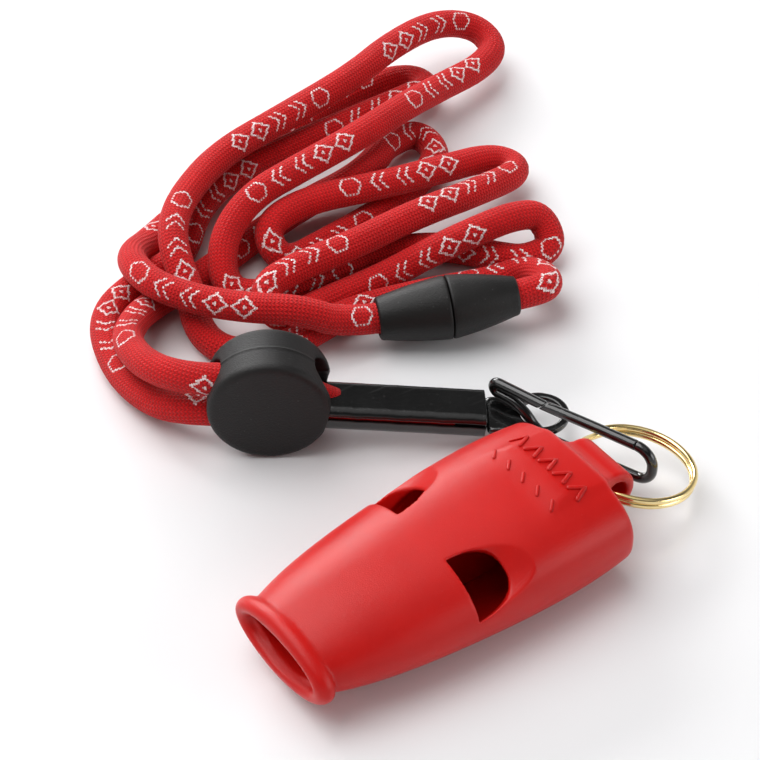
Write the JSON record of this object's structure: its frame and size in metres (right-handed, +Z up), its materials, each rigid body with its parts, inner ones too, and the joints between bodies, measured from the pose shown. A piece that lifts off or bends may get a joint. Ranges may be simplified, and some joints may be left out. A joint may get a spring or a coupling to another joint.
{
  "type": "training whistle",
  "caption": "Pealess training whistle with side windows and a lipped mouthpiece, on a split ring, wire hook, crimped sleeve, round cord lanyard with slider and breakaway clasp.",
  "frame": {"origin": "middle of the whistle's flat belly, the face it rests on", "axes": "+X along the whistle from mouth to lug, +Z up out of the belly, +Y to the side the lanyard lies on"},
  "size_m": [0.1002, 0.1022, 0.016],
  "materials": {
    "whistle_plastic": "satin, fine spark-eroded grain",
    "gold_ring": "bright plated wire",
    "black_wire": "gloss black coating",
    "black_sleeve": "gloss black coating",
    "cord_weave": "round knitted polyester cord with a woven white motif",
    "slider_plastic": "matt moulded",
    "clasp_plastic": "matt moulded"
  },
  "bodies": {
    "whistle": {"whistle_top_shell": "whistle_plastic", "whistle_bottom_shell": "whistle_plastic", "whistle_core": "whistle_plastic"},
    "ring": {"split_ring": "gold_ring"},
    "hook": {"hook_frame": "black_wire"},
    "gate": {"hook_gate": "black_wire"},
    "lanyard": {"ferrule": "black_sleeve", "crimped_cord_ends": "cord_weave", "eyelet_tab": "black_sleeve", "cord_lower": "cord_weave", "cord_upper": "cord_weave", "clasp_socket": "clasp_plastic"},
    "slider": {"cord_slider": "slider_plastic"},
    "plug": {"clasp_plug": "clasp_plastic"}
  },
  "joints": [
    {"name": "ring_swing", "type": "hinge", "parent": "whistle", "child": "ring", "pos_m": [0.0241, 0, 0.0065], "axis": [0, 1, 0], "range_deg": [-70, 8]},
    {"name": "hook_travel", "type": "hinge", "parent": "ring", "child": "hook", "pos_m": [0.03074, -0.0006, 0.00494], "axis": [0.2079, 0, 0.9781], "range_deg": [-40, 10]},
    {"name": "gate_spring", "type": "hinge", "parent": "hook", "child": "gate", "pos_m": [0.03097, -0.00024, 0.0081], "axis": [-0.9659, -0.2588, 0], "range_deg": [0, 4], "stiffness_Nm_per_rad": 0.02},
    {"name": "lanyard_swing", "type": "hinge", "parent": "hook", "child": "lanyard", "pos_m": [0.0269, 0.0158, 0.0033], "axis": [0, 0, 1], "range_deg": [-6, 5]},
    {"name": "slider_slide", "type": "slide", "parent": "lanyard", "child": "slider", "axis": [-0.8191, 0.5736, 0], "range_m": [0, 0.006], "deforming": ["cord_lower", "cord_upper"]},
    {"name": "clasp_release", "type": "slide", "parent": "lanyard", "child": "plug", "axis": [0.8993, -0.4342, 0.0517], "range_m": [0, 0.008], "deforming": ["cord_upper"]}
  ]
}
